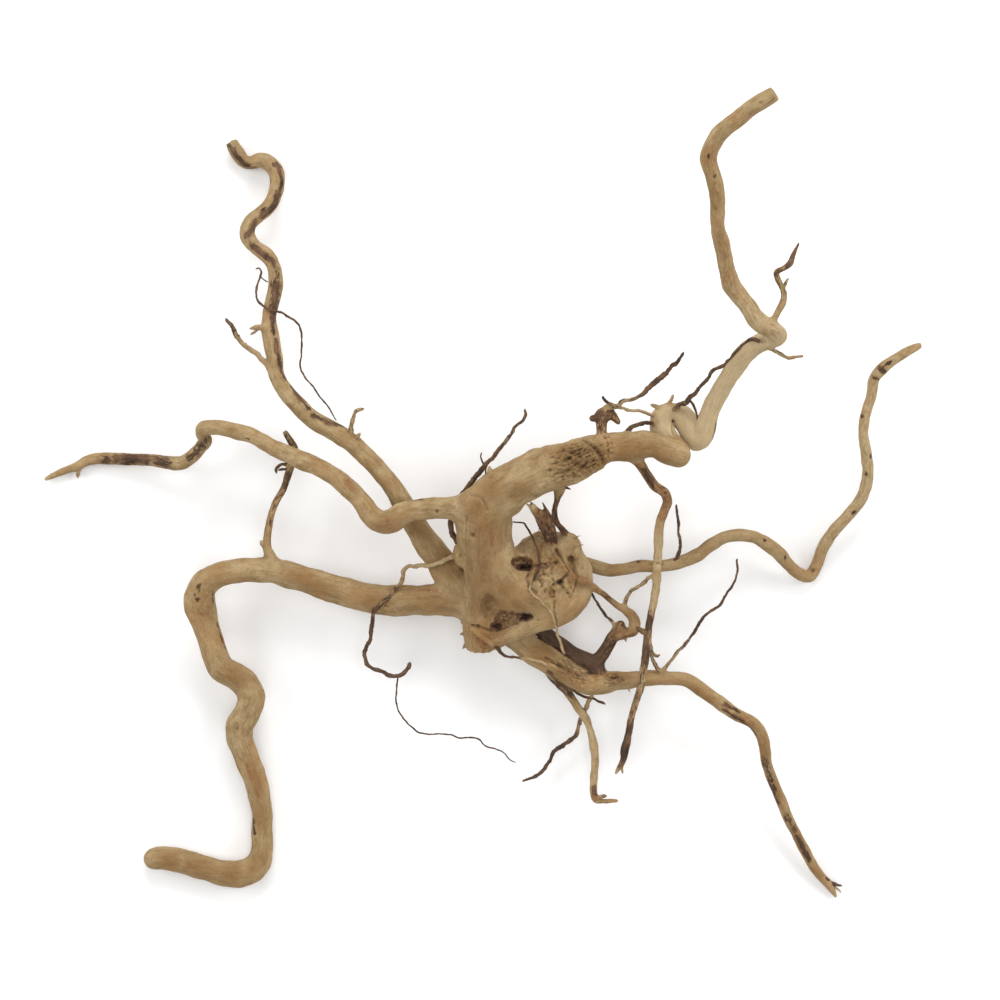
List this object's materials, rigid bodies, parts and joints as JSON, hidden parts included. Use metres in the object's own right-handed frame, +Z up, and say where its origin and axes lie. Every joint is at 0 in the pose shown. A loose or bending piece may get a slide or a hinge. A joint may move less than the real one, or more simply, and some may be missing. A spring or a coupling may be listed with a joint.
{
  "type": "branchwood",
  "caption": "Sand-blasted branchwood: a knotted root hub with long crooked arms and thin twigs spreading from it on all sides, lying on a flat surface.",
  "frame": {"origin": "middle of the bounding box in plan, on the surface that the wood lies on", "axes": "+Z up from the surface; +X along the longest extent, from the long lower-left foot's side towards the slim right arm; +Y towards the high upper-right limb's sawn end"},
  "size_m": [0.4471, 0.3999, 0.1389],
  "materials": {
    "wood": "sand-blasted pale tan wood with grain, darker bark remnants and brown twigs"
  },
  "bodies": {
    "root": {"branchwood": "wood"}
  },
  "joints": []
}
